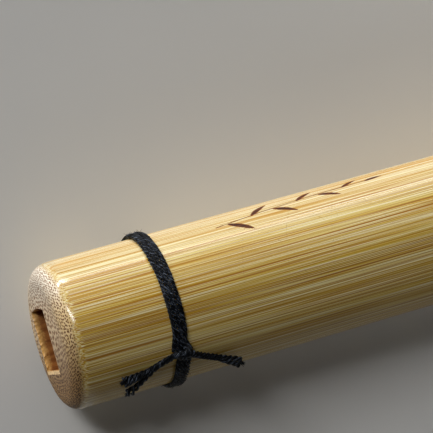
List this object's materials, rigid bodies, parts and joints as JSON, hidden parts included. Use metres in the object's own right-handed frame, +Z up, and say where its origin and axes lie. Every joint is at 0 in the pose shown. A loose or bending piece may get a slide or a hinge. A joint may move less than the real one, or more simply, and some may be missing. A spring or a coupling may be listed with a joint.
{
  "type": "bamboo flute",
  "caption": "Two-chamber bamboo flute with a slotted plug in its rounded mouth end, a tied sliding sound block over a flue, finger holes and cord bindings.",
  "frame": {"origin": "centre of the foot bore's mouth, on the flute's axis", "axes": "+X from the mouth end to the foot along the bore, +Z up through the finger holes and the sound block"},
  "size_m": [0.4, 0.0295, 0.0365],
  "materials": {
    "bamboo": "lacquered",
    "plug_bamboo": "satin",
    "plate_wood": "satin",
    "block_wood": "satin",
    "cord": "matte"
  },
  "bodies": {
    "flute": {"culm": "bamboo", "mouth_plug": "plug_bamboo", "chamber_stopper": "plug_bamboo", "spacer_plate": "plate_wood", "mouth_binding": "cord", "mouth_binding_knot": "cord", "mouth_binding_tail_front": "cord", "mouth_binding_tail_rear": "cord", "foot_binding": "cord", "foot_binding_knot": "cord", "foot_binding_tail_front": "cord", "foot_binding_tail_rear": "cord"},
    "voicing_block": {"sound_block": "block_wood", "block_tie": "cord", "block_tie_knot": "cord", "block_tie_tail_front": "cord", "block_tie_tail_rear": "cord"}
  },
  "joints": [
    {"name": "block_slide", "type": "slide", "parent": "flute", "child": "voicing_block", "axis": [1, 0, 0], "range_m": [-0.003, 0.003]}
  ]
}
